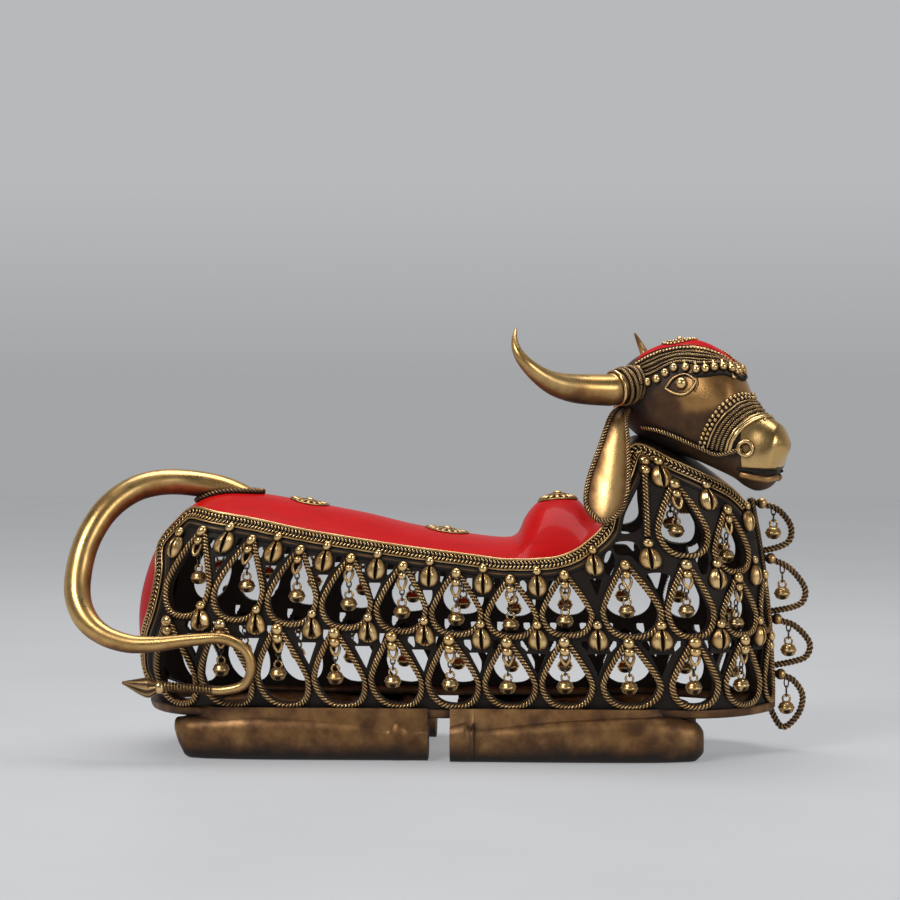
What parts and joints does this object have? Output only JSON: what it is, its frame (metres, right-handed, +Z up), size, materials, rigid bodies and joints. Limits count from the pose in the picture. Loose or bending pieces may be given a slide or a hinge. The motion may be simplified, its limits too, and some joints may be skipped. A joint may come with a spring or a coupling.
{
  "type": "nandi bull figure",
  "caption": "Reclining nandi bull cast in openwork brass: rope-edged loops hung with bells, a red lacquered back and cap, a turned head and a curled tail.",
  "frame": {"origin": "under the middle of the figure's box, on the surface that it lies on", "axes": "+X towards the head, +Y to the bull's left, +Z up"},
  "size_m": [0.575, 0.2086, 0.3265],
  "materials": {
    "antique_brass": "antiqued, polished on the high points and black in the hollows",
    "bell_brass": "aged",
    "bronze_brown": "brown patina, semi-gloss",
    "red_lacquer": "gloss lacquer"
  },
  "bodies": {
    "root": {"bull_casting": "antique_brass", "bell_right_lower_10": "bell_brass", "bell_right_lower_9": "bell_brass", "bell_right_lower_8": "bell_brass", "bell_right_lower_7": "bell_brass", "bell_right_lower_6": "bell_brass", "bell_right_lower_5": "bell_brass", "bell_right_lower_4": "bell_brass", "bell_right_lower_3": "bell_brass", "bell_right_lower_2": "bell_brass", "bell_right_lower_1": "bell_brass", "bell_right_upper_11": "bell_brass", "bell_right_upper_10": "bell_brass", "bell_right_upper_9": "bell_brass", "bell_right_upper_8": "bell_brass", "bell_right_upper_7": "bell_brass", "bell_right_upper_6": "bell_brass", "bell_right_upper_5": "bell_brass", "bell_right_upper_4": "bell_brass", "bell_right_upper_3": "bell_brass", "bell_right_upper_2": "bell_brass", "bell_right_upper_1": "bell_brass", "bell_right_neck_1": "bell_brass", "bell_right_neck_2": "bell_brass", "bell_left_lower_10": "bell_brass", "bell_left_lower_9": "bell_brass", "bell_left_lower_8": "bell_brass", "bell_left_lower_7": "bell_brass", "bell_left_lower_6": "bell_brass", "bell_left_lower_5": "bell_brass", "bell_left_lower_4": "bell_brass", "bell_left_lower_3": "bell_brass", "bell_left_lower_2": "bell_brass", "bell_left_lower_1": "bell_brass", "bell_left_upper_11": "bell_brass", "bell_left_upper_10": "bell_brass", "bell_left_upper_9": "bell_brass", "bell_left_upper_8": "bell_brass", "bell_left_upper_7": "bell_brass", "bell_left_upper_6": "bell_brass", "bell_left_upper_5": "bell_brass", "bell_left_upper_4": "bell_brass", "bell_left_upper_3": "bell_brass", "bell_left_upper_2": "bell_brass", "bell_left_upper_1": "bell_brass", "bell_left_neck_1": "bell_brass", "bell_left_neck_2": "bell_brass", "bell_chest_1": "bell_brass", "bell_chest_2": "bell_brass", "bell_chest_3": "bell_brass", "bell_chest_4": "bell_brass"}
  },
  "joints": []
}
